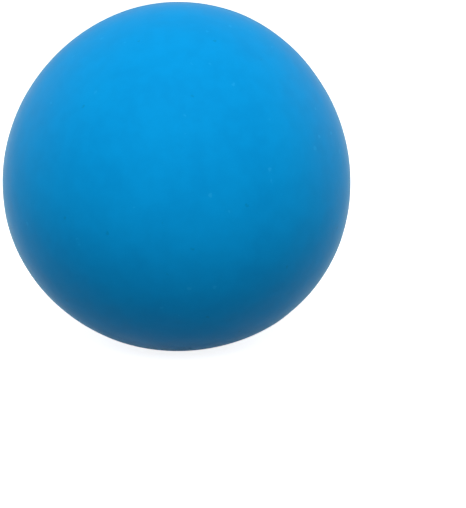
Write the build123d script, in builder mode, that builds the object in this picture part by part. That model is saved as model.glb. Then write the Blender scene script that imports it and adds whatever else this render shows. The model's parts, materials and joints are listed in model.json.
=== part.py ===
from build123d import *

import os
from math import acos, cos, degrees, radians, sqrt

# Colour-changing stress ball: a soft moulded skin filled with dough and closed by a glued plug.
#
# The ball stands on a flat surface at z = 0 with its fill port downwards. Its own weight settles the
# base into a small flat patch, and the origin is the centre of that patch. +Z points up through the
# crown. Every piece is a solid of revolution about Z. Lengths are in millimetres.

# --- Ball ---------------------------------------------------------------------------------------
BALL_WIDTH = 60.0  # across the widest plane
CROWN_FULLNESS = 1.9  # how much tighter than a true sphere the crown and the hips curve
REST_PATCH_RADIUS = 8.0  # flat patch on which the soft ball stands
SKIN_WALL = 2.5
FILL_GAP = 0.3  # from the dough to the skin and to the plug

# --- Fill port and plug -------------------------------------------------------------------------
PLUG_RECESS = 0.25  # from the rest plane up to the plug's outer face
PLUG_HEAD_RADIUS = 4.4
PLUG_HEAD_THICKNESS = 1.2
PLUG_STEM_RADIUS = 2.6
BARB_GRIP = 1.1  # how far the barb stands out over the port's edge
BARB_LENGTH = 2.6
BARB_TIP_RADIUS = 1.9
GLUE_FILM = 0.25  # between the plug and the walls of the port
GLUE_SETBACK = 0.15  # from the plug's rounded edge up to the lower edge of the glue
BOSS_WALL = 2.6  # of the boss, round the counterbore
BOSS_HEIGHT = 6.0  # from the rest plane up to the boss's inner end
BOSS_FLARE = 1.2  # 45 degree flare at the foot of the boss
BOSS_EDGE_FILLET = 0.8
PORT_LIP_FILLET = 0.25
PLUG_EDGE_FILLET = 0.3

# --- Sizes that follow --------------------------------------------------------------------------
# The outline is made of tangent arcs. It turns through ARC_SPLIT on a tight crown arc, then to the
# widest plane on a flat shoulder arc, then the same two radii the other way up: a tight hip arc and
# a flat base arc. The two radii add up to the width, so the ball has one width in every direction.
ARC_SPLIT = 30.0  # degrees from the axis at which the crown and base arcs end
TIGHT_RADIUS = BALL_WIDTH / 2 - CROWN_FULLNESS
FLAT_RADIUS = BALL_WIDTH / 2 + CROWN_FULLNESS
BASE_CENTRE_Z = sqrt(FLAT_RADIUS**2 - REST_PATCH_RADIUS**2)  # of the base arc, on the axis
BALL_TOP = BASE_CENTRE_Z - FLAT_RADIUS + BALL_WIDTH
WIDEST_Z = BASE_CENTRE_Z - (FLAT_RADIUS - TIGHT_RADIUS) * cos(radians(ARC_SPLIT))

PORT_RADIUS = PLUG_STEM_RADIUS + GLUE_FILM
COUNTERBORE_RADIUS = PLUG_HEAD_RADIUS + GLUE_FILM
HEAD_TOP = PLUG_RECESS + PLUG_HEAD_THICKNESS
COUNTERBORE_DEPTH = HEAD_TOP + GLUE_FILM
BOSS_RADIUS = COUNTERBORE_RADIUS + BOSS_WALL
BARB_RADIUS = PORT_RADIUS + BARB_GRIP
BARB_TOP = BOSS_HEIGHT + BARB_LENGTH


def ball_outline(inset):
    """Closed half outline in the XZ plane, that far inside the outer surface and flat at the base."""
    tight = TIGHT_RADIUS - inset
    flat = FLAT_RADIUS - inset
    base_turn = ARC_SPLIT - degrees(acos((BASE_CENTRE_Z - inset) / flat))
    crown = JernArc(start=(0, BALL_TOP - inset), tangent=(1, 0), radius=tight, arc_size=-ARC_SPLIT)
    shoulder = JernArc(start=crown @ 1, tangent=crown % 1, radius=flat, arc_size=ARC_SPLIT - 90)
    hip = JernArc(start=shoulder @ 1, tangent=shoulder % 1, radius=tight, arc_size=ARC_SPLIT - 90)
    base = JernArc(start=hip @ 1, tangent=hip % 1, radius=flat, arc_size=-base_turn)
    Polyline(base @ 1, (0, inset), (0, BALL_TOP - inset))


# --- Skin ---------------------------------------------------------------------------------------
# One soft moulding with its fill port at the bottom pole. A boss thickens the wall round the port: its
# section starts halfway into the wall, so that the two become one.
with BuildPart() as skin:
    with BuildSketch(Plane.XZ) as skin_section:
        with BuildLine():
            ball_outline(0)
        make_face()
        with BuildLine():
            ball_outline(SKIN_WALL)
        make_face(mode=Mode.SUBTRACT)
        with BuildLine():
            Polyline(
                (0, SKIN_WALL / 2),
                (BOSS_RADIUS, SKIN_WALL / 2),
                (BOSS_RADIUS + BOSS_FLARE, SKIN_WALL),
                (BOSS_RADIUS, SKIN_WALL + BOSS_FLARE),
                (BOSS_RADIUS, BOSS_HEIGHT),
                (0, BOSS_HEIGHT),
                close=True,
            )
        make_face()
    revolve(axis=Axis.Z)
    boss_end = skin.faces().filter_by(Plane.XY).sort_by(Axis.Z)[-1]
    fillet(boss_end.edges(), BOSS_EDGE_FILLET)
    with Locations(-Plane.XY):
        CounterBoreHole(PORT_RADIUS, COUNTERBORE_RADIUS, COUNTERBORE_DEPTH, depth=BOSS_HEIGHT)
    rest_face = skin.faces().filter_by(Plane.XY).sort_by(Axis.Z)[0]
    fillet(rest_face.edges().sort_by(SortBy.LENGTH)[0], PORT_LIP_FILLET)

# The skin parts at its widest plane so that its two halves can close on each other in a squeeze.
with BuildPart() as skin_lower:
    add(skin.part)
    split(bisect_by=Plane.XY.offset(WIDEST_Z), keep=Keep.BOTTOM)
skin_lower.part.label = "skin_lower"

with BuildPart() as skin_upper:
    add(skin.part)
    split(bisect_by=Plane.XY.offset(WIDEST_Z), keep=Keep.TOP)
skin_upper.part.label = "skin_upper"

# --- Fill plug ----------------------------------------------------------------------------------
# A mushroom plug: its head lies in the counterbore, its stem fills the port and its barb grips the
# inner end of the boss.
with BuildPart() as fill_plug:
    with BuildSketch(Plane.XZ) as plug_section:
        with BuildLine():
            Polyline(
                (0, PLUG_RECESS),
                (PLUG_HEAD_RADIUS, PLUG_RECESS),
                (PLUG_HEAD_RADIUS, HEAD_TOP),
                (PLUG_STEM_RADIUS, HEAD_TOP),
                (PLUG_STEM_RADIUS, BOSS_HEIGHT),
                (BARB_RADIUS, BOSS_HEIGHT),
                (BARB_TIP_RADIUS, BARB_TOP),
                (0, BARB_TOP),
                close=True,
            )
        make_face()
    revolve(axis=Axis.Z)
    outer_face = fill_plug.faces().filter_by(Plane.XY).sort_by(Axis.Z)[0]
    barb_tip = fill_plug.faces().filter_by(Plane.XY).sort_by(Axis.Z)[-1]
    fillet(outer_face.edges() + barb_tip.edges(), PLUG_EDGE_FILLET)
fill_plug.part.label = "fill_plug"

# --- Glue ---------------------------------------------------------------------------------------
# It fills the gap round the head, over the head and along the stem, and shows as a thin ring.
GLUE_EDGE_Z = PLUG_RECESS + PLUG_EDGE_FILLET + GLUE_SETBACK

with BuildPart() as plug_adhesive:
    with BuildSketch(Plane.XZ) as glue_section:
        with BuildLine():
            Polyline(
                (PLUG_HEAD_RADIUS, GLUE_EDGE_Z),
                (COUNTERBORE_RADIUS, GLUE_EDGE_Z),
                (COUNTERBORE_RADIUS, COUNTERBORE_DEPTH),
                (PORT_RADIUS, COUNTERBORE_DEPTH),
                (PORT_RADIUS, BOSS_HEIGHT),
                (PLUG_STEM_RADIUS, BOSS_HEIGHT),
                (PLUG_STEM_RADIUS, HEAD_TOP),
                (PLUG_HEAD_RADIUS, HEAD_TOP),
                close=True,
            )
        make_face()
    revolve(axis=Axis.Z)
plug_adhesive.part.label = "plug_adhesive"

# --- Filling ------------------------------------------------------------------------------------
# One mass of soft dough that fills the skin, with a pocket round the boss and the plug's barb. The barb
# tapers, so its pocket is two gaps wider than it: that leaves one gap square to the slope.
POCKET_FOOT = BOSS_RADIUS + BOSS_FLARE + FILL_GAP
POCKET_TOP = BARB_TOP + FILL_GAP

with BuildPart() as filling:
    with BuildSketch(Plane.XZ) as dough_section:
        with BuildLine():
            ball_outline(SKIN_WALL + FILL_GAP)
        make_face()
        with BuildLine():
            Polyline(
                (0, 0),
                (POCKET_FOOT, 0),
                (POCKET_FOOT, SKIN_WALL + FILL_GAP),
                (BOSS_RADIUS + FILL_GAP, SKIN_WALL + BOSS_FLARE + FILL_GAP),
                (BOSS_RADIUS + FILL_GAP, BOSS_HEIGHT + FILL_GAP),
                (BARB_RADIUS + 2 * FILL_GAP, BOSS_HEIGHT + FILL_GAP),
                (BARB_TIP_RADIUS + 2 * FILL_GAP, POCKET_TOP),
                (0, POCKET_TOP),
                close=True,
            )
        make_face(mode=Mode.SUBTRACT)
    revolve(axis=Axis.Z)
filling.part.label = "filling"

os.makedirs("parts", exist_ok=True)
for piece in (skin_lower, skin_upper, filling, fill_plug, plug_adhesive):
    export_step(piece.part, f"parts/{piece.part.label}.step")
    box = piece.part.bounding_box()
    print(f"{piece.part.label}: {piece.part.volume:.1f} mm3, z {box.min.Z:.2f} to {box.max.Z:.2f}")
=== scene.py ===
# %% [markdown]
# # A colour-changing stress ball
#
# The real toy is a soft ball about as wide as a palm. Its skin is thermoplastic rubber, moulded over a
# core in one piece and dyed a bright azure blue. Through a small port in the skin it is filled with soft
# pink dough, and then a rubber plug is glued into the port. Squeezed, the dough has nowhere to go but
# sideways: the skin bulges, gets thin, and the pink inside shines through it.
#
# A plain sphere would pass for it at arm's length. What makes it look real up close is in three places:
# a shape that is a little fuller at the hips than at the shoulders and settles flat on the table, a dull
# powdery surface with a pale bloom along its edge, and soft light from in front and above.
#
# The CAD model comes first. It is the frame: it fixes the sizes and carries the joint.

# %% Load the frame
import json
import math

import bpy
import numpy as np
from mathutils import Matrix, Vector, noise


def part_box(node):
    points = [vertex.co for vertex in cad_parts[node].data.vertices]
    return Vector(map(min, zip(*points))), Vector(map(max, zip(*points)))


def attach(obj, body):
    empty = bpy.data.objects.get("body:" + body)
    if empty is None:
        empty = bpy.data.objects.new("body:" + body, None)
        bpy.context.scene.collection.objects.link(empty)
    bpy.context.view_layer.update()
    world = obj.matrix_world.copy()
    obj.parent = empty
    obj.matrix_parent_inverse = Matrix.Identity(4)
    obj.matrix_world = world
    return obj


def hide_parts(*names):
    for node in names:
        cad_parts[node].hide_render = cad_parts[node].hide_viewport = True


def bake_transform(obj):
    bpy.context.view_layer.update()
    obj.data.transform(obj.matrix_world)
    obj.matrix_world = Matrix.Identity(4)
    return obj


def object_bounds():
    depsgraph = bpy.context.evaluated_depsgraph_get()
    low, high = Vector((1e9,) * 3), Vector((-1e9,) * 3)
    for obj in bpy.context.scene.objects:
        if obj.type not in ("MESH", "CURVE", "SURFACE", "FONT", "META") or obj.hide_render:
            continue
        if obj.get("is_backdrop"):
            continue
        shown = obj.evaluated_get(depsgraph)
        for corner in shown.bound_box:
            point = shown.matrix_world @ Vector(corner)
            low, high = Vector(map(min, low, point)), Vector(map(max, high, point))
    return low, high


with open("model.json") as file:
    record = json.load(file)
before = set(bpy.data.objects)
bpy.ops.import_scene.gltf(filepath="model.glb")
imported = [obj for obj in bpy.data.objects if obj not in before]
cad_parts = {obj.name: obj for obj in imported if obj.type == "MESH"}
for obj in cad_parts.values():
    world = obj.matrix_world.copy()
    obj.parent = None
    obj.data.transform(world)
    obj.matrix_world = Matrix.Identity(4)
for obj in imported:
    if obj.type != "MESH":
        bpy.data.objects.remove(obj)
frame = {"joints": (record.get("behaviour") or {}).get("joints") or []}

cad_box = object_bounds()
MM = 0.001
print("CAD box in mm:", [[round(c / MM, 2) for c in corner] for corner in cad_box])

# %% [markdown]
# ## Sizes that come from the frame
#
# Nothing is measured twice. The boxes of the CAD nodes hold the main sizes, and each piece below adds
# only the few that a box can't show. The ball's outline is made of arcs of two radii, a tight one at the
# crown and the hips and a flat one at the shoulders and the base. Both follow from its width, its height
# and the height of its widest plane. Such an outline has the same width in every direction: where it is
# full on one side it is flat on the other.

# %% Read the sizes
ball_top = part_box("skin_upper")[1].z
widest_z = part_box("skin_lower")[1].z
ball_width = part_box("skin_lower")[1].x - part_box("skin_lower")[0].x
dough_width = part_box("filling")[1].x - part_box("filling")[0].x
FILL_GAP = 0.3 * MM
skin_wall = (ball_width - dough_width) / 2 - FILL_GAP

TIGHT_ARC = math.radians(30)  # how far from the crown the first, tight arc ends
split = math.cos(TIGHT_ARC)
flat_radius = (widest_z - ball_top + ball_width * (1 - split)) / (1 - 2 * split)
fullness = flat_radius - ball_width / 2
# Blender's outline is a smooth wave of three instead of arcs. It takes 4 / pi of the arcs' bend, as the
# first wave in a square one does, and a wave of three bends by 3 ** 2 - 1 times its own height.
wave = fullness * (4 / math.pi) / (3**2 - 1)
middle_z = ball_top - ball_width / 2 - wave

plug_low, plug_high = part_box("fill_plug")
glue_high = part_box("plug_adhesive")[1]
head_radius, recess, barb_top = plug_high.x, plug_low.z, plug_high.z
counterbore_radius, boss_end = glue_high.x, glue_high.z
print(f"ball {ball_width / MM:.2f} mm wide, wall {skin_wall / MM:.2f}, wave {wave / MM:.3f}")
print(f"plug's head {head_radius / MM:.2f} mm in radius, {recess / MM:.2f} above the table")

# %% [markdown]
# ## Camera
#
# A long lens, a little above the table, as for a catalogue page. The lens is aimed past the ball, so
# that the ball stands up and to the left of the middle. Aiming beats shifting the lens: a shift would
# stay on when the camera moves round to another side.

# %% Aim the camera
FRAME_WIDTH, FRAME_HEIGHT = 466, 508
LENS, SENSOR = 100.0, 36.0
VIEW_ELEVATION = math.radians(12)
BALL_SHARE = 0.746  # of the frame's width
BALL_ACROSS, BALL_UP = 0.382, 0.648  # where the ball's middle is, from the left and from below

focal = LENS / SENSOR * FRAME_HEIGHT
ball_middle = Vector((0, 0, middle_z))
distance = ball_width / 2 / math.sin(math.atan(BALL_SHARE * FRAME_WIDTH / 2 / focal))
sight = Vector((0, math.cos(VIEW_ELEVATION), -math.sin(VIEW_ELEVATION)))
towards_ball = Vector(((BALL_ACROSS - 0.5) * FRAME_WIDTH, (BALL_UP - 0.5) * FRAME_HEIGHT, -focal))

camera = bpy.data.objects.new("camera", bpy.data.cameras.new("camera"))
bpy.context.collection.objects.link(camera)
bpy.context.scene.camera = camera
camera.data.lens, camera.data.sensor_width = LENS, SENSOR
camera.data.clip_start, camera.data.clip_end = 0.01, 20
camera.rotation_mode = "QUATERNION"
look = sight.to_track_quat("-Z", "Y")
camera.rotation_quaternion = look @ towards_ball.rotation_difference(Vector((0, 0, -1)))
camera.location = ball_middle - sight * distance
print(f"camera {distance:.3f} m away")

# %% [markdown]
# ## A white with two faces
#
# The ball should stand on clean white, and a dull ball on white needs that white twice over. To the
# camera and in reflections the room and the floor are fully white, so the ball's edge picks up a pale
# rim. As light they are much weaker, so that the underside still falls off into shadow, as it does over
# a table that the lamps don't reach. A Light Path node tells the two apart.

# %% Two shaders on one output
def node(tree, kind, **settings):
    """A new node of that kind. A setting is a property, or the value of the input with that name."""
    made = tree.nodes.new(kind)
    for name, value in settings.items():
        if name in made.bl_rna.properties:
            setattr(made, name, value)
        else:
            made.inputs[name.replace("_", " ")].default_value = value
    return made


def two_faced_white(tree, output, shown, felt):
    """The camera and reflections see the shader shown, and everything else the shader felt."""
    path = node(tree, "ShaderNodeLightPath")
    either = node(tree, "ShaderNodeMath", operation="MAXIMUM")
    pick = node(tree, "ShaderNodeMixShader")
    tree.links.new(path.outputs["Is Camera Ray"], either.inputs[0])
    tree.links.new(path.outputs["Is Glossy Ray"], either.inputs[1])
    tree.links.new(either.outputs[0], pick.inputs[0])
    tree.links.new(felt.outputs[0], pick.inputs[1])
    tree.links.new(shown.outputs[0], pick.inputs[2])
    tree.links.new(pick.outputs[0], output.inputs["Surface"])


# %% [markdown]
# ## Room
#
# The room is a plain background, with no walls to model. It is the same white from every side, so it
# lights the ball evenly, and the softboxes below do the shaping.

# %% Build the room
ROOM_LIGHT = 0.2
WHITE = (1, 1, 1, 1)
bpy.context.scene.view_settings.view_transform = "Standard"
room = bpy.data.worlds.new("pale_room")
bpy.context.scene.world = room
room.use_nodes = True
tree = room.node_tree
tree.nodes.clear()
shown = node(tree, "ShaderNodeBackground", Color=WHITE)
felt = node(tree, "ShaderNodeBackground", Color=WHITE, Strength=ROOM_LIGHT)
two_faced_white(tree, node(tree, "ShaderNodeOutputWorld"), shown, felt)
print(f"the room shows white and lights the ball at {ROOM_LIGHT}")

# %% [markdown]
# ## Floor
#
# The floor is a wide round sheet just under the ball. A white sheet alone would show a grey shadow, so
# it glows a little as well, which keeps the shadow pale.

# %% Lay the floor
FLOOR_RADIUS = 1.5
FLOOR_STEPS = 96
FLOOR_DROP = 0.05 * MM  # under the ball's flat patch, so that the two never flicker
FLOOR_SHOWN = (0.95, 0.95, 0.95, 1)
FLOOR_GLOW = 0.87
FLOOR_FELT = (0.20, 0.20, 0.20, 1)

turns = [math.tau * i / FLOOR_STEPS for i in range(FLOOR_STEPS)]
edge = [(FLOOR_RADIUS * math.cos(turn), FLOOR_RADIUS * math.sin(turn), 0) for turn in turns]
floor = bpy.data.objects.new("floor", bpy.data.meshes.new("floor"))
floor.data.from_pydata(edge, [], [tuple(range(FLOOR_STEPS))])
floor.location.z = -FLOOR_DROP
bpy.context.collection.objects.link(floor)
floor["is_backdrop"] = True

pale_floor = bpy.data.materials.new("pale_floor")
pale_floor.use_nodes = True
tree = pale_floor.node_tree
tree.nodes.clear()
glowing = node(tree, "ShaderNodeAddShader")
tree.links.new(node(tree, "ShaderNodeBsdfDiffuse", Color=FLOOR_SHOWN).outputs[0], glowing.inputs[0])
tree.links.new(node(tree, "ShaderNodeEmission", Strength=FLOOR_GLOW).outputs[0], glowing.inputs[1])
felt = node(tree, "ShaderNodeBsdfDiffuse", Color=FLOOR_FELT)
two_faced_white(tree, node(tree, "ShaderNodeOutputMaterial"), glowing, felt)
floor.data.materials.append(pale_floor)
print(f"floor {2 * FLOOR_RADIUS:.0f} m across")

# %% [markdown]
# ## Softboxes
#
# One big softbox in front and above gives the ball its round, soft shading: brightest between the crown
# and the middle, and darkest underneath. Two weak ones stand behind it, low on the left and on the
# right. From in front they only touch the edges, and from behind they keep the ball from going black.

# %% Place the softboxes
SOFTBOX_AWAY = 0.8


def softbox(name, turn, rise, power, size):
    """A square softbox aimed at the ball. turn is round the ball from the camera, rise above the floor."""
    turn, rise = math.radians(turn), math.radians(rise)
    level = math.cos(rise)
    towards = Vector((math.sin(turn) * level, -math.cos(turn) * level, math.sin(rise)))
    lamp = bpy.data.lights.new(name, "AREA")
    lamp.shape, lamp.size, lamp.energy = "SQUARE", size, power
    box = bpy.data.objects.new(name, lamp)
    box.location = ball_middle + towards * SOFTBOX_AWAY
    box.rotation_mode = "QUATERNION"
    box.rotation_quaternion = (-towards).to_track_quat("-Z", "Y")
    bpy.context.collection.objects.link(box)


SOFTBOXES = {
    # name: turn and rise in degrees, power in watts, size in metres
    "key": (0, 54, 5.95, 0.8),
    "back_left": (-120, 20, 0.85, 0.6),
    "back_right": (120, 20, 0.85, 0.6),
}
for name, settings in SOFTBOXES.items():
    softbox(name, *settings)
print(len(SOFTBOXES), "softboxes:", ", ".join(SOFTBOXES))

# %% [markdown]
# ## Turned pieces
#
# Every piece of the ball is round about one axis, so each is half an outline that is turned, as on a
# lathe. Each step of an outline is a ring, and a ring is a small function that gives the place for an
# angle: that way the same lathe turns a true circle, the ball's leaning surface and a wavy edge of glue.
# An outline that starts and ends on the axis closes into a solid. One that doesn't closes on itself.

# %% Turn an outline into a mesh
A_POINT = 1e-9  # a ring with steps closer than this has shrunk to a point


def at(radius, height):
    """A true circle."""
    return lambda turn: Vector((radius * math.cos(turn), radius * math.sin(turn), height))


def turned(name, outline, steps):
    """A closed mesh from rings that run from the top down the outside and back up inside."""
    points, rings, faces = [], [], []
    for ring in outline:
        places = [ring(math.tau * i / steps) for i in range(steps)]
        if (places[0] - places[1]).length < A_POINT:
            rings.append([len(points)] * steps)
            points.append(places[0])
        else:
            rings.append(range(len(points), len(points) + steps))
            points.extend(places)
    closed_at_ends = rings[0][0] == rings[0][1]
    for upper, lower in zip(rings, rings[1:] if closed_at_ends else [*rings[1:], rings[0]]):
        for i in range(steps):
            j = (i + 1) % steps
            corners = dict.fromkeys((upper[i], lower[i], lower[j], upper[j]))
            if len(corners) > 2:
                faces.append(tuple(corners))
    mesh = bpy.data.meshes.new(name)
    mesh.from_pydata(points, [], faces)
    mesh.shade_smooth()
    piece = bpy.data.objects.new(name, mesh)
    bpy.context.collection.objects.link(piece)
    print(f"{name}: {len(mesh.vertices)} vertices, {len(mesh.polygons)} faces")
    return piece


# %% [markdown]
# ## Soft corners
#
# Moulded rubber has no sharp edge, and a soft edge is what catches the light. So an outline is written
# as corners with a rounding each, and this turns them into rings: an arc at each corner, and rings close
# enough together along the straight runs that the shading stays smooth.

# %% Round the corners of an outline
def rounded(corners, longest=0.5 * MM, steps=4):
    """Rings through (radius, height, rounding) corners. A rounding of 0 leaves the corner sharp."""
    path = []
    for i, (r, z, rounding) in enumerate(corners):
        here = Vector((r, z))
        if not rounding:
            path.append(here)
            continue
        back = (Vector(corners[i - 1][:2]) - here).normalized()
        onward = (Vector(corners[i + 1][:2]) - here).normalized()
        half = back.angle(onward) / 2
        centre = here + (back + onward).normalized() * (rounding / math.sin(half))
        start = here + back * (rounding / math.tan(half)) - centre
        sweep = start.angle_signed(here + onward * (rounding / math.tan(half)) - centre)
        path += [centre + Matrix.Rotation(-sweep * k / steps, 2) @ start for k in range(steps + 1)]
    rings = [at(*path[0])]
    for start, end in zip(path, path[1:]):
        count = max(1, math.ceil((end - start).length / longest))
        rings += [at(*start.lerp(end, k / count)) for k in range(1, count + 1)]
    return rings


# %% [markdown]
# ## The ball's shape
#
# A soft ball is never a true sphere. It cooled in a mould, the dough has sunk a little in it, and it has
# been put down by hand. So the outline has a gentle wave of three, the wave leans a few degrees to one
# side, and the surface has lumps too shallow to see but deep enough to bend a soft shadow. Then the
# underside rolls flat where it meets the table. The inside of the skin and the dough follow the very
# same shape further in, so the wall has an even thickness.

# %% The ball's surface
LEAN = math.radians(8.5)
LEAN_FADES = math.radians(140), math.radians(160)  # upright again before it reaches the port
LUMP_HEIGHT = 0.07 * MM
LUMPS_ACROSS = 2.3
SMALL_LUMPS = 0.4, 2.7  # their height and their number across, next to the large ones
SETTLE_SOFTNESS = 0.12 * MM


def smoothstep(low, high, value):
    """0 at low, 1 at high, and smooth between."""
    part = min(1.0, max(0.0, (value - low) / (high - low)))
    return part * part * (3 - 2 * part)


def wavy_point(facing, axis, inset):
    """The surface point that faces that way, that far inside the skin, with the wave along axis."""
    along = facing.dot(axis)
    height = ball_width / 2 - inset + wave * (4 * along**3 - 3 * along)
    slope = wave * (12 * along**2 - 3)
    return facing * (height - along * slope) + axis * slope


def on_ball(fall, inset=0.0):
    """A ring of the ball. fall is the angle from the crown of the direction that the surface faces."""
    small_height, small_across = SMALL_LUMPS

    def place(turn):
        level = math.sin(fall)
        facing = Vector((level * math.cos(turn), level * math.sin(turn), math.cos(fall)))
        upright = wavy_point(facing, Vector((0, 0, 1)), inset)
        leaning = wavy_point(facing, Vector((math.sin(LEAN), 0, math.cos(LEAN))), inset)
        firm = smoothstep(*LEAN_FADES, fall)
        lump = noise.noise(facing * LUMPS_ACROSS)
        lump += small_height * noise.noise(facing * LUMPS_ACROSS * small_across)
        found = leaning.lerp(upright, firm) + facing * LUMP_HEIGHT * lump * (1 - firm) + ball_middle
        over = found.z - inset
        found.z = inset + (over + math.hypot(over, SETTLE_SOFTNESS)) / 2
        return found

    return place


widest = on_ball(math.pi / 2)
print(f"at the widest plane {(widest(0).x - widest(math.pi).x) / MM:.2f} mm across")

# %% [markdown]
# ## Rings down to the port
#
# The ball's rings stop where the port begins. The angle at which the surface comes in to a given radius
# has no neat formula, so it is found by halving: try the middle, see which half holds it, and go on.

# %% Ball rings
HALVINGS = 40


def fall_at(radius, inset):
    """How far down from the crown the underside comes in to that radius."""
    low, high = math.pi / 2, math.pi
    for _ in range(HALVINGS):
        fall = (low + high) / 2
        facing = Vector((math.sin(fall), 0, math.cos(fall)))
        outside = wavy_point(facing, Vector((0, 0, 1)), inset).x > radius
        low, high = (fall, high) if outside else (low, fall)
    return fall


def ball_rings(last_radius, inset, count):
    """Rings from the crown down to that radius on the underside."""
    last = fall_at(last_radius, inset)
    return [on_ball(last * k / count, inset) for k in range(count + 1)]


print(f"the port begins {math.degrees(fall_at(counterbore_radius, 0)):.1f} degrees from the crown")

# %% [markdown]
# ## Skin
#
# The CAD model parts the skin at its widest plane, because a rigid simulation needs two halves to
# squeeze together. The real skin is one moulding with no join, so one closed mesh replaces both halves:
# down the outside from the crown, round the lip of the port, up through it, over the boss that stiffens
# it inside, and back up the cavity to the crown.

# %% Turn the skin
STEM_RADIUS = 2.6 * MM
HEAD_THICKNESS = 1.2 * MM
BOSS_WALL = 2.6 * MM
BOSS_FLARE = 1.2 * MM
LIP_LAND = 0.9 * MM  # outside the port's lip, where the ball's surface takes over
CAVITY_LAND = 0.3 * MM  # the same round the foot of the boss, inside
SKIN_STEPS = 288
SKIN_RINGS = 170

glue_film = counterbore_radius - head_radius
port_radius = STEM_RADIUS + glue_film
head_top = recess + HEAD_THICKNESS
counterbore_top = head_top + glue_film
boss_radius = counterbore_radius + BOSS_WALL
boss_foot = boss_radius + BOSS_FLARE

outside = ball_rings(counterbore_radius + LIP_LAND, 0, SKIN_RINGS)
port = rounded(
    [
        (counterbore_radius + LIP_LAND / 2, 0, 0),
        (counterbore_radius, 0, 0.25 * MM),
        (counterbore_radius, counterbore_top, 0.1 * MM),
        (port_radius, counterbore_top, 0.15 * MM),
        (port_radius, boss_end, 0.2 * MM),
        (boss_radius, boss_end, 0.8 * MM),
        (boss_radius, skin_wall + BOSS_FLARE, 0.8 * MM),
        (boss_foot, skin_wall, 0),
    ]
)
cavity = ball_rings(boss_foot + CAVITY_LAND, skin_wall, SKIN_RINGS // 2)
ball_skin = turned("ball_skin", outside + port + cavity[::-1], SKIN_STEPS)

# %% [markdown]
# ## Fill plug
#
# The plug is a small mushroom of the same rubber, moulded solid. Its barb is pushed through the port and
# snaps open behind the boss. The middle of its face keeps the mark where the rubber came in: a dimple
# with the stub of the gate in it. That mark, and soft edges, tell a moulded plug from a plain disc.

# %% Turn the plug
BARB_GRIP = 1.1 * MM
BARB_TIP_RADIUS = 1.9 * MM
DIMPLE_RADIUS, DIMPLE_DEPTH = 1.15 * MM, 0.16 * MM
GATE_RADIUS, GATE_HEIGHT = 0.38 * MM, 0.12 * MM
PLUG_STEPS = 96

dimple = recess + DIMPLE_DEPTH
gate_end = dimple - GATE_HEIGHT
plug_outline = rounded(
    [
        (0, barb_top, 0),
        (BARB_TIP_RADIUS, barb_top, 0.4 * MM),
        (port_radius + BARB_GRIP, boss_end, 0.12 * MM),
        (STEM_RADIUS, boss_end, 0),
        (STEM_RADIUS, head_top, 0),
        (head_radius, head_top, 0.2 * MM),
        (head_radius, recess, 0.35 * MM),
        (DIMPLE_RADIUS, recess, 0.1 * MM),
        (DIMPLE_RADIUS - DIMPLE_DEPTH, dimple, 0.06 * MM),
        (GATE_RADIUS, dimple, 0.03 * MM),
        (GATE_RADIUS, gate_end, 0.05 * MM),
        (0, gate_end, 0),
    ],
    longest=0.25 * MM,
)
plug = turned("port_plug", plug_outline, PLUG_STEPS)

# %% [markdown]
# ## Glue
#
# The plug is set in flexible glue. It fills the gap round the stem and the head, and where it comes out
# it wets both walls and dries into a hollow edge. It was put on by hand, so the edge is uneven.

# %% Turn the glue
GLUE_EDGE = 0.5 * MM  # how far above the table it wets the walls, deeper in than the plug's face
GLUE_SAG = 0.12 * MM  # how much deeper in it is between the walls
GLUE_UNEVEN = 0.1 * MM
NOISE_CIRCLE = 3  # one turn reads the noise round a circle of this radius
ABOVE_EDGE = GLUE_EDGE + 0.3 * MM  # from where the glue's sides are true circles again


def glue_edge(across, hollow):
    """A ring of the glue's open edge. across runs from the plug's side to the port's wall."""
    radius = head_radius + glue_film * across

    def place(turn):
        uneven = noise.noise(Vector((NOISE_CIRCLE * math.cos(turn), NOISE_CIRCLE * math.sin(turn), 0.5)))
        return at(radius, GLUE_EDGE + GLUE_UNEVEN * uneven + GLUE_SAG * hollow)(turn)

    return place


up_the_stem_and_out = [
    (STEM_RADIUS, boss_end, 0),
    (port_radius, boss_end, 0),
    (port_radius, counterbore_top, 0),
    (counterbore_radius, counterbore_top, 0),
    (counterbore_radius, ABOVE_EDGE, 0),
]
hollow_edge = ((1, 0), (0.8, 0.7), (0.5, 1), (0.2, 0.7), (0, 0))
edge_rings = [glue_edge(across, hollow) for across, hollow in hollow_edge]
back_over_the_head = [(head_radius, ABOVE_EDGE, 0), (head_radius, head_top, 0), (STEM_RADIUS, head_top, 0)]
glue_outline = rounded(up_the_stem_and_out) + edge_rings + rounded(back_over_the_head)
glue = turned("glue_bead", glue_outline, PLUG_STEPS)

# %% [markdown]
# ## Dough
#
# The dough takes the shape of the cavity, with a pocket where the boss and the plug's barb reach into
# it. A hair of space is left between them, so that no two surfaces ever share a place.

# %% Turn the dough
DOUGH_STEPS = 160
DOUGH_RINGS = 90
POCKET_LAND = 0.2 * MM

dough_inset = skin_wall + FILL_GAP
pocket_foot = boss_foot + 2 * FILL_GAP
dough_pocket = rounded(
    [
        (pocket_foot, dough_inset + FILL_GAP, 0),
        (boss_radius + FILL_GAP, skin_wall + BOSS_FLARE + FILL_GAP, 0.5 * MM),
        (boss_radius + FILL_GAP, boss_end + FILL_GAP, 0.5 * MM),
        (port_radius + BARB_GRIP + 2 * FILL_GAP, boss_end + FILL_GAP, 0.3 * MM),
        (BARB_TIP_RADIUS + 2 * FILL_GAP, barb_top + FILL_GAP, 0.4 * MM),
        (0, barb_top + FILL_GAP, 0),
    ]
)
dough_outside = ball_rings(pocket_foot + POCKET_LAND, dough_inset, DOUGH_RINGS)
dough = turned("dough", dough_outside + dough_pocket, DOUGH_STEPS)

# %% [markdown]
# ## Air in the dough
#
# Air trapped during filling leaves shallow round dents in the dough. Each one pushes the points near it
# towards the middle. Their places are drawn by chance, from a fixed seed, so that they are the same
# every time. The pocket round the plug stays free of them.

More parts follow.
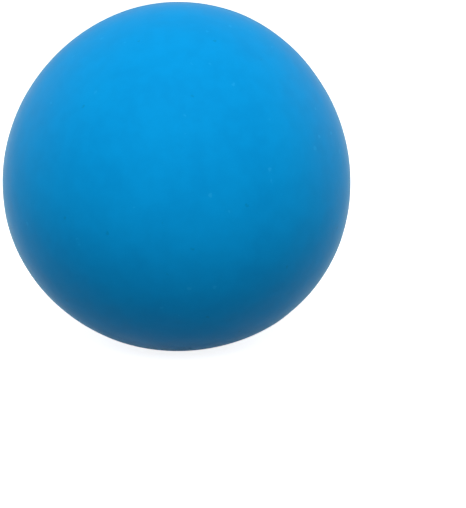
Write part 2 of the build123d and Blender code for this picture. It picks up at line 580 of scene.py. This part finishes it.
# %% Dent the dough
AIR_DENTS = 18
DENT_DEPTH = 0.5 * MM
SHALLOWEST = 0.4  # of the depth of the deepest dent
DENT_SPREAD = 2.5, 6  # degrees, seen from the middle
POCKET_SHARE = 0.8  # no dents where the way from the middle goes down by more than this share of it

chance = np.random.default_rng(7)
dents = []
for _ in range(AIR_DENTS):
    towards = Vector(chance.normal(size=3)).normalized()
    spread = math.radians(chance.uniform(*DENT_SPREAD))
    dents.append((towards, spread, chance.uniform(SHALLOWEST, 1) * DENT_DEPTH))
for vertex in dough.data.vertices:
    out = vertex.co - ball_middle
    if out.z < -POCKET_SHARE * out.length:
        continue
    for towards, spread, depth in dents:
        angle = out.angle(towards)
        if angle < spread:
            vertex.co -= out.normalized() * depth * (1 - (angle / spread) ** 2) ** 2
print(AIR_DENTS, "dents of air")

# %% [markdown]
# ## Maths in nodes
#
# The squeeze and the materials are both worked out by nodes. A formula in nodes is easier to read as
# text, so each of these helpers adds one maths node and gives back its result, and they nest like
# ordinary arithmetic.

# %% Maths helpers
def maths(tree, kind, operation, *values):
    """A maths node's sockets. Each value is a number, a vector or another node's socket."""
    made = tree.nodes.new(kind)
    made.operation = operation
    for socket, value in zip(made.inputs, values):
        if isinstance(value, bpy.types.NodeSocket):
            tree.links.new(value, socket)
        else:
            socket.default_value = value
    return made.outputs


def number(tree, operation, *values):
    return maths(tree, "ShaderNodeMath", operation, *values)[0]


def vector(tree, operation, *values):
    return maths(tree, "ShaderNodeVectorMath", operation, *values)[0]


def length_of(tree, places):
    return maths(tree, "ShaderNodeVectorMath", "LENGTH", places)[1]


def reach_along(tree, places, direction):
    """How far places reach in that direction."""
    return maths(tree, "ShaderNodeVectorMath", "DOT_PRODUCT", places, direction)[1]


def ease(tree, value, low, high, to_low=0.0, to_high=1.0):
    """value, turned smoothly into to_low at low and to_high at high."""
    made = node(tree, "ShaderNodeMapRange", interpolation_type="SMOOTHSTEP")
    tree.links.new(value, made.inputs["Value"])
    for name, limit in zip(("From Min", "From Max", "To Min", "To Max"), (low, high, to_low, to_high)):
        made.inputs[name].default_value = limit
    return made.outputs["Result"]


# %% [markdown]
# ## Squeeze: how far it is pressed
#
# The joint presses the upper half down, or pulls it up. Moving the skin and the dough only up or
# down would be half of the truth: dough can't be compressed, so what the ball loses in height it gains
# in width. A small modifier adds that. It compares the mesh's highest point with where that was at
# rest, so it does nothing at all until the mesh is pressed.

# %% Read the press
PRESS_LIMIT = max(frame["joints"][0]["range_m"])

squeeze = bpy.data.node_groups.new("dough_goes_sideways", "GeometryNodeTree")
squeeze.interface.new_socket("Geometry", in_out="INPUT", socket_type="NodeSocketGeometry")
squeeze.interface.new_socket("Geometry", in_out="OUTPUT", socket_type="NodeSocketGeometry")
shape_in = squeeze.nodes.new("NodeGroupInput").outputs[0]
rest_places = node(squeeze, "GeometryNodeInputNamedAttribute", data_type="FLOAT_VECTOR", Name="at_rest")
at_rest = rest_places.outputs["Attribute"]
now = squeeze.nodes.new("GeometryNodeInputPosition").outputs[0]


def highest(places):
    """The height of the mesh's highest point."""
    found = node(squeeze, "GeometryNodeAttributeStatistic", data_type="FLOAT", domain="POINT")
    squeeze.links.new(shape_in, found.inputs["Geometry"])
    squeeze.links.new(reach_along(squeeze, places, (0, 0, 1)), found.inputs["Attribute"])
    return found.outputs["Max"]


press = number(squeeze, "SUBTRACT", highest(at_rest), highest(now))
pressed = number(squeeze, "MAXIMUM", number(squeeze, "DIVIDE", press, PRESS_LIMIT), 0.0)
print(f"pressed at most {PRESS_LIMIT / MM:.0f} mm")

# %% [markdown]
# ## Squeeze: flatter and wider
#
# Seen from the ball's middle, each point moves in towards the middle plane and out from the axis, by
# just enough that the volume stays the same. Between two palms the ends also go flat and the sides go
# straight, so both parts of the move are bent by a power a little under 1. The port doesn't follow: the
# skin round it is held, so that the plug stays tight.

# %% Squeeze the ball
SQUARER_SIDES, SQUARER_ENDS = 0.15, 0.35  # how far under 1 the power goes at full press
SQUARER_FILLS = 0.07  # a squarer outline holds more, so it needs this much less width
# From the port, where the skin starts to move and where it moves freely.
HELD_SIDEWAYS = 9 * MM, 24 * MM
HELD_UPRIGHT = 9 * MM, 14 * MM

half_height = ball_top / 2
half_now = number(squeeze, "SUBTRACT", half_height, number(squeeze, "DIVIDE", press, 2.0))
flattening = number(squeeze, "DIVIDE", half_now, half_height)
filled = number(squeeze, "SUBTRACT", 1.0, number(squeeze, "MULTIPLY", pressed, SQUARER_FILLS))
spread = number(squeeze, "DIVIDE", filled, number(squeeze, "SQRT", flattening))

out = vector(squeeze, "SUBTRACT", at_rest, (0, 0, half_height))
level = vector(squeeze, "MULTIPLY", out, (1, 1, 0))
reach = length_of(squeeze, out)
radius = length_of(squeeze, level)
rise = reach_along(squeeze, out, (0, 0, 1))


def squarer(part, by):
    """That part of reach after the outline has gone squarer by that much."""
    power = number(squeeze, "SUBTRACT", 1.0, number(squeeze, "MULTIPLY", pressed, by))
    size = number(squeeze, "ABSOLUTE", number(squeeze, "DIVIDE", part, reach))
    bent = number(squeeze, "MULTIPLY", number(squeeze, "POWER", size, power), number(squeeze, "SIGN", part))
    return number(squeeze, "MULTIPLY", reach, bent)


def scaled(direction, length):
    """The direction times a number from another node."""
    made = vector(squeeze, "SCALE", direction)
    squeeze.links.new(length, made.node.inputs["Scale"])
    return made


new_radius = number(squeeze, "MULTIPLY", squarer(radius, SQUARER_SIDES), spread)
new_rise = number(squeeze, "MULTIPLY", squarer(rise, SQUARER_ENDS), flattening)
new_height = number(squeeze, "ADD", new_rise, half_now)
wider = number(squeeze, "SUBTRACT", new_radius, radius)
higher = number(squeeze, "SUBTRACT", new_height, number(squeeze, "ADD", rise, half_height))
from_port = length_of(squeeze, at_rest)
wider = number(squeeze, "MULTIPLY", wider, ease(squeeze, from_port, *HELD_SIDEWAYS))
higher = number(squeeze, "MULTIPLY", higher, ease(squeeze, from_port, *HELD_UPRIGHT))
moves_out = scaled(vector(squeeze, "NORMALIZE", level), wider)
moves_up = scaled((0, 0, 1), higher)
squeezed = vector(squeeze, "ADD", at_rest, vector(squeeze, "ADD", moves_out, moves_up))
held, free = HELD_SIDEWAYS
print(f"{held / MM:.0f} mm round the port is held, and from {free / MM:.0f} mm the skin moves freely")

# %% [markdown]
# ## Squeeze: note the bulge
#
# The colour needs to know where the skin is stretched. So the modifier also writes down how far each
# point has bulged out from the middle, and only while the ball is pressed: pulled, it stays blue.

# %% Note the bulge
middle_now = scaled((0, 0, 1), half_now)
out_now = vector(squeeze, "SUBTRACT", squeezed, middle_now)
reach_now = reach_along(squeeze, out_now, vector(squeeze, "NORMALIZE", out))
bulge = number(squeeze, "SUBTRACT", reach_now, reach)
bulge = number(squeeze, "MULTIPLY", bulge, number(squeeze, "GREATER_THAN", press, 0.0))

moved = squeeze.nodes.new("GeometryNodeSetPosition")
noted = node(squeeze, "GeometryNodeStoreNamedAttribute", data_type="FLOAT", domain="POINT", Name="bulge")
shape_out = squeeze.nodes.new("NodeGroupOutput")
squeeze.links.new(shape_in, moved.inputs["Geometry"])
squeeze.links.new(squeezed, moved.inputs["Position"])
squeeze.links.new(moved.outputs["Geometry"], noted.inputs["Geometry"])
squeeze.links.new(bulge, noted.inputs["Value"])
squeeze.links.new(noted.outputs["Geometry"], shape_out.inputs[0])
print(len(squeeze.nodes), "nodes move the rubber and note its bulge")

# %% [markdown]
# ## Squeeze: skin and dough
#
# The same things happen to the skin and to the dough, so one function does them. The places at rest
# are written into the mesh first, because the modifier and the materials both measure from them. The
# modifier comes last.


def squeezes(piece):
    """Notes the piece's places at rest and gives it the modifier that bulges it when it is pressed."""
    places = np.array([vertex.co for vertex in piece.data.vertices], np.float32)
    piece.data.attributes.new("at_rest", "FLOAT_VECTOR", "POINT").data.foreach_set("vector", places.ravel())
    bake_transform(piece)
    piece.modifiers.new("dough_goes_sideways", "NODES").node_group = squeeze


squeezes(ball_skin)
squeezes(dough)

# %% [markdown]
# ## Patterns
#
# All the materials are made from the same few patterns: soft noise for what is uneven, ragged dots for
# dust, and a bump for the surface's own relief. They are worked out in millimetres on the piece as it is
# at rest. So a size means what it says, and the pattern moves with the rubber when the ball is squeezed.

# %% Pattern helpers
NOISE_SPAN = 0.3, 0.7  # soft noise seldom leaves it


def clean_material(name):
    """A new material, its nodes and its Principled shader."""
    material = bpy.data.materials.new(name)
    material.use_nodes = True
    return material, material.node_tree, material.node_tree.nodes["Principled BSDF"]


def noted_at_rest(tree):
    """Places on a piece that squeezes, in millimetres."""
    noted_places = node(tree, "ShaderNodeAttribute", attribute_name="at_rest").outputs["Vector"]
    return vector(tree, "MULTIPLY", noted_places, (1 / MM,) * 3)


def on_the_piece(tree):
    """Places on a piece that keeps its shape, in millimetres."""
    return vector(tree, "MULTIPLY", node(tree, "ShaderNodeTexCoord").outputs["Object"], (1 / MM,) * 3)


def blotches(tree, places, size, detail=2.0, roughness=0.5):
    """Soft noise with blotches about size millimetres across."""
    made = node(tree, "ShaderNodeTexNoise", Scale=1 / size, Detail=detail, Roughness=roughness)
    tree.links.new(places, made.inputs["Vector"])
    return made.outputs["Fac"]


def patches(tree, places, size, detail=2.0, to_low=0.0, to_high=1.0):
    """Blotches with clearer edges, from to_low to to_high."""
    return ease(tree, blotches(tree, places, size, detail), *NOISE_SPAN, to_low, to_high)


def mixed(tree, part, first, second):
    """A colour between two colours or sockets."""
    made = node(tree, "ShaderNodeMix", data_type="RGBA")
    for socket, value in zip((made.inputs[0], made.inputs[6], made.inputs[7]), (part, first, second)):
        if isinstance(value, bpy.types.NodeSocket):
            tree.links.new(value, socket)
        else:
            socket.default_value = value
    return made.outputs[2]


def blend_of(tree, *parts):
    """The sum of sockets, each times its share."""
    total = 0.0
    for socket, share in parts:
        total = number(tree, "MULTIPLY_ADD", socket, share, total)
    return total


# %% [markdown]
# ## Dust and relief
#
# Dust is a few specks, not a pattern: the surface is split into cells, some cells are chosen, and each
# chosen one gets a dot. A dot that is pulled about by fine noise looks like lint and not like a pinhead.
# Relief needs no mesh. A bump only tilts the surface for the light, and that is all that shows of pores.

# %% Dust and relief helpers
DUST_SOLID, DUST_FADES = 0.35, 0.6  # of its size, from a speck's middle
DUST_SHOWS = 0.5


def dusted(tree, dye, dust, places, apart, size, how_many, seed):
    """The dye with ragged specks of that size. how_many of the cells hold one, and seed moves them all."""
    shifted = vector(tree, "ADD", places, (seed, seed * 1.7, seed * 2.3))
    ragged = node(tree, "ShaderNodeTexNoise", Scale=1.2 / size, Detail=1.0)
    tree.links.new(shifted, ragged.inputs["Vector"])
    pulled = vector(tree, "MULTIPLY_ADD", ragged.outputs["Color"], (size, size, size), shifted)
    cells = node(tree, "ShaderNodeTexVoronoi", Scale=1 / apart)
    tree.links.new(pulled, cells.inputs["Vector"])
    chosen = node(tree, "ShaderNodeSeparateColor")
    tree.links.new(cells.outputs["Color"], chosen.inputs[0])
    solid, faded = DUST_SOLID * size / apart, DUST_FADES * size / apart
    dot = ease(tree, cells.outputs["Distance"], solid, faded, 1.0, 0.0)
    speck = number(tree, "MULTIPLY", dot, number(tree, "LESS_THAN", chosen.outputs[0], how_many))
    return mixed(tree, number(tree, "MULTIPLY", speck, DUST_SHOWS), dye, dust)


def bumpy(tree, shader, height, depth):
    """Gives the shader a bump that is depth millimetres deep where height goes from 0 to 1."""
    made = node(tree, "ShaderNodeBump", Strength=1.0, Distance=depth * MM)
    tree.links.new(height, made.inputs["Height"])
    tree.links.new(made.outputs[0], shader.inputs["Normal"])


# %% [markdown]
# ## Rubber of the skin: its blue
#
# The rubber is dyed through, so its colour is even and strong. What shows at this distance is fine:
# powder from the factory leaves a faint bloom in patches, the rubber itself is a little mottled and
# grainy, and dust leaves a few specks, some pale and some dark.

# %% Blue of the skin
BLUE, BLUE_DEEP = (0.002, 0.386, 0.88, 1), (0.0015, 0.338, 0.80, 1)
DUST_LIGHT, DUST_DARK = (0.02, 0.47, 0.93, 1), (0.001, 0.27, 0.62, 1)
BLOOM_SIZE, MOTTLE_SIZE, GRAIN_SIZE = 9, 2.6, 0.7

skin_rubber, tree, shader = clean_material("skin_rubber")
places = noted_at_rest(tree)
bloom = patches(tree, places, BLOOM_SIZE, detail=3)
mottle = patches(tree, places, MOTTLE_SIZE)
grain = blotches(tree, places, GRAIN_SIZE)
pale = blend_of(tree, (bloom, 0.45), (mottle, 0.35), (grain, 0.2))
dye = mixed(tree, pale, BLUE_DEEP, BLUE)
dye = dusted(tree, dye, DUST_LIGHT, places, apart=3.5, size=0.7, how_many=0.6, seed=3)
dye = dusted(tree, dye, DUST_DARK, places, apart=4, size=0.6, how_many=0.5, seed=11)
print(f"bloom {BLOOM_SIZE} mm across, mottle {MOTTLE_SIZE} mm, grain {GRAIN_SIZE} mm")

# %% [markdown]
# ## Rubber of the skin: where it is stretched
#
# Where the skin bulges it gets thin, and the pink dough shines through. Thin blue over pink is violet
# first and then pink. No skin is equally thick all over, so the line between the colours wanders.

# %% Violet and pink of the stretched skin
VIOLET, PINK = (0.20, 0.13, 0.62, 1), (0.62, 0.11, 0.40, 1)
STRETCH_SHOWS = 0.8, 5.5  # millimetres of bulge at which the colour starts and stops changing
TO_VIOLET, TO_PINK = (0.0, 0.55), (0.35, 1.0)  # of that change
WALL_UNEVEN = 2.2  # how far apart in bulge two places of one colour can be
WALL_UNEVEN_SIZE = 5

noted_bulge = node(tree, "ShaderNodeAttribute", attribute_name="bulge").outputs["Fac"]
bulge_mm = number(tree, "MULTIPLY", noted_bulge, 1 / MM)
uneven = number(tree, "SUBTRACT", blotches(tree, places, WALL_UNEVEN_SIZE, detail=3), 0.5)
thinner_here = number(tree, "MULTIPLY", uneven, WALL_UNEVEN)
stretched = ease(tree, number(tree, "ADD", bulge_mm, thinner_here), *STRETCH_SHOWS)
dye = mixed(tree, ease(tree, stretched, *TO_VIOLET), dye, VIOLET)
dye = mixed(tree, ease(tree, stretched, *TO_PINK), dye, PINK)
tree.links.new(dye, shader.inputs["Base Color"])
print(f"blue up to {STRETCH_SHOWS[0]} mm of bulge, pink from {STRETCH_SHOWS[1]} mm")

# %% [markdown]
# ## Rubber of the skin: its surface
#
# The light that powdered rubber sends back is nearly all colour: it has hardly any gloss. Seen edge-on
# it changes. The surface mirrors the white room at that angle, and the powder catches the light from all
# round, which is what sheen in the shader is for. The two together make the pale rim. Stretched rubber
# has lost its powder and is smooth, so there it gets a glossy coat.

# %% Surface of the skin
DULL, DULLER_BLOOM = 0.56, 0.06
SMOOTHER_STRETCHED = 0.3
STRETCHED_COAT = 0.5
PORE_SIZE, PORE_DEPTH = 0.25, 0.016

dull = number(tree, "ADD", number(tree, "MULTIPLY", bloom, DULLER_BLOOM), DULL)
smoother = number(tree, "MULTIPLY", stretched, SMOOTHER_STRETCHED)
tree.links.new(number(tree, "SUBTRACT", dull, smoother), shader.inputs["Roughness"])
tree.links.new(number(tree, "MULTIPLY", stretched, STRETCHED_COAT), shader.inputs["Coat Weight"])
shader.inputs["Coat Roughness"].default_value = 0.3
shader.inputs["Specular IOR Level"].default_value = 0.1
shader.inputs["Specular Tint"].default_value = (0.1, 0.6, 1.0, 1)
shader.inputs["Sheen Weight"].default_value = 0.6
shader.inputs["Sheen Roughness"].default_value = 0.25
shader.inputs["Sheen Tint"].default_value = (0.7, 0.97, 1.0, 1)
pores = blend_of(tree, (blotches(tree, places, PORE_SIZE), 0.3), (grain, 0.3), (mottle, 0.4))
bumpy(tree, shader, pores, PORE_DEPTH)
print(f"pores {PORE_DEPTH} mm deep,", len(tree.nodes), "nodes in the skin's rubber")

# %% [markdown]
# ## Rubber of the plug
#
# The plug is the same rubber without the powder: it was never dusted, so it is a little deeper in colour
# and smoother, with faint rings from the mould.

# %% Plug material
PLUG_DEEP, PLUG_BLUE = (0.001, 0.30, 0.72, 1), (0.002, 0.36, 0.80, 1)
MOULD_RING_SCALE, MOULD_RING_DEPTH = 0.9, 0.006

plug_rubber, tree, shader = clean_material("plug_rubber")
places = on_the_piece(tree)
dye = mixed(tree, blotches(tree, places, 1.6, detail=3), PLUG_DEEP, PLUG_BLUE)
tree.links.new(dye, shader.inputs["Base Color"])
tree.links.new(patches(tree, places, 0.8, to_low=0.34, to_high=0.46), shader.inputs["Roughness"])
shader.inputs["Specular IOR Level"].default_value = 0.3
rings = node(tree, "ShaderNodeTexWave", wave_type="RINGS", rings_direction="Z")
rings.inputs["Scale"].default_value = MOULD_RING_SCALE
rings.inputs["Distortion"].default_value = 0.4
rings.inputs["Detail"].default_value = 1.0
tree.links.new(places, rings.inputs["Vector"])
bumpy(tree, shader, rings.outputs["Fac"], MOULD_RING_DEPTH)
print("plug_rubber:", len(tree.nodes), "nodes")

# %% [markdown]
# ## Clear glue
#
# Dried glue is glossy, and clear over blue rubber it looks like a pale, slightly milky blue. Small waves
# in it break up its highlights.

# %% Glue material
GLUE_CLEAR, GLUE_MILKY = (0.20, 0.45, 0.66, 1), (0.45, 0.66, 0.80, 1)
GLUE_WAVE_DEPTH = 0.02

clear_glue, tree, shader = clean_material("clear_glue")
places = on_the_piece(tree)
milky = mixed(tree, blotches(tree, places, 0.9), GLUE_CLEAR, GLUE_MILKY)
tree.links.new(milky, shader.inputs["Base Color"])
tree.links.new(patches(tree, places, 0.5, to_low=0.08, to_high=0.2), shader.inputs["Roughness"])
bumpy(tree, shader, blotches(tree, places, 0.6), GLUE_WAVE_DEPTH)
print("clear_glue:", len(tree.nodes), "nodes")

# %% [markdown]
# ## Pink dough
#
# The dough is soft pink with a grain of starch in it. Light goes a little way into it before it comes
# out again, so it has some subsurface scattering.

# %% Dough material
DOUGH_DEEP, DOUGH_PINK, STARCH = (0.72, 0.09, 0.36, 1), (0.86, 0.16, 0.46, 1), (0.95, 0.45, 0.66, 1)
DOUGH_LUMP_DEPTH = 0.15

pink_dough, tree, shader = clean_material("pink_dough")
places = noted_at_rest(tree)
dye = mixed(tree, blotches(tree, places, 7, detail=4), DOUGH_DEEP, DOUGH_PINK)
dye = dusted(tree, dye, STARCH, places, apart=1.6, size=0.35, how_many=0.4, seed=5)
tree.links.new(dye, shader.inputs["Base Color"])
tree.links.new(patches(tree, places, 3, to_low=0.38, to_high=0.55), shader.inputs["Roughness"])
shader.inputs["Subsurface Weight"].default_value = 0.3
shader.inputs["Subsurface Radius"].default_value = (1.0, 0.35, 0.5)
shader.inputs["Subsurface Scale"].default_value = 2 * MM
lumps = blend_of(tree, (blotches(tree, places, 4, detail=4), 1.0), (blotches(tree, places, 0.4), 0.2))
bumpy(tree, shader, lumps, DOUGH_LUMP_DEPTH)
print("pink_dough:", len(tree.nodes), "nodes")

# %% [markdown]
# ## Put it together
#
# Each piece takes its material and hides the CAD nodes that it stands for. The plug and its glue ride
# on the lower half of the ball.

# %% Assemble
ASSEMBLY = [
    # piece, material, the record's slot, CAD nodes that it replaces
    (ball_skin, skin_rubber, "skin_tpr", ("skin_lower", "skin_upper")),
    (dough, pink_dough, "dough", ("filling",)),
    (plug, plug_rubber, "plug_tpr", ("fill_plug",)),
    (glue, clear_glue, "glue", ("plug_adhesive",)),
]
for piece, material, slot, nodes in ASSEMBLY:
    piece.data.materials.append(material)
    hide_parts(*nodes)
    print(f"{piece.name} replaces {', '.join(nodes)}")
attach(plug, "lower_half")
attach(glue, "lower_half")

# %% [markdown]
# ## The size
#
# Blender gives the looks and never the size, so the two boxes are written down side by side.

# %% Write the sizes
boxes = {"cad": cad_box, "visual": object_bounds()}
for name, (low, high) in boxes.items():
    print(name, "box in mm:", [round(c / MM, 2) for c in (*low, *high)])
